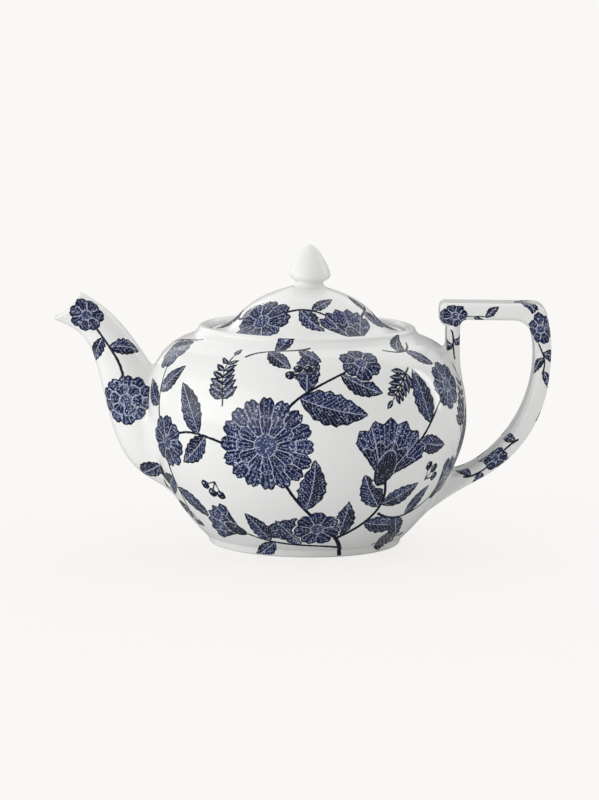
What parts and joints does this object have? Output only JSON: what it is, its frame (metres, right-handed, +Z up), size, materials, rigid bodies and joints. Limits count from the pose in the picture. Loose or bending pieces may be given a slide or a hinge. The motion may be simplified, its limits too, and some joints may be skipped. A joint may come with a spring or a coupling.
{
  "type": "teapot",
  "caption": "Round-bellied white glazed teapot with blue floral print, swan-neck spout, angular strap handle and lift-off domed lid, for brewing and pouring tea.",
  "frame": {"origin": "on the standing plane, under the middle of the overall length; the pot's round axis stands 3.4 mm from it toward the handle", "axes": "+X from the spout toward the handle, +Z up, +Y the far side when the spout is on the left"},
  "size_m": [0.2557, 0.1644, 0.153],
  "materials": {
    "printed_glaze": "gloss white glaze over blue print",
    "white_glaze": "gloss white glaze",
    "foot_clay": "glazed sides, bare standing edge"
  },
  "bodies": {
    "pot": {"pot_body": "printed_glaze", "foot_ring": "foot_clay", "collar": "printed_glaze", "spout": "printed_glaze", "spout_grid": "white_glaze", "spout_seam": "printed_glaze", "handle": "printed_glaze", "handle_upper_seam": "printed_glaze", "handle_lower_seam": "printed_glaze"},
    "lid": {"lid_dome": "printed_glaze", "lid_flange": "white_glaze", "lid_lug": "white_glaze", "lid_knob": "white_glaze", "knob_seam": "white_glaze"}
  },
  "joints": [
    {"name": "lid_lift", "type": "slide", "parent": "pot", "child": "lid", "axis": [0, 0, 1], "range_m": [0, 0.07]}
  ]
}
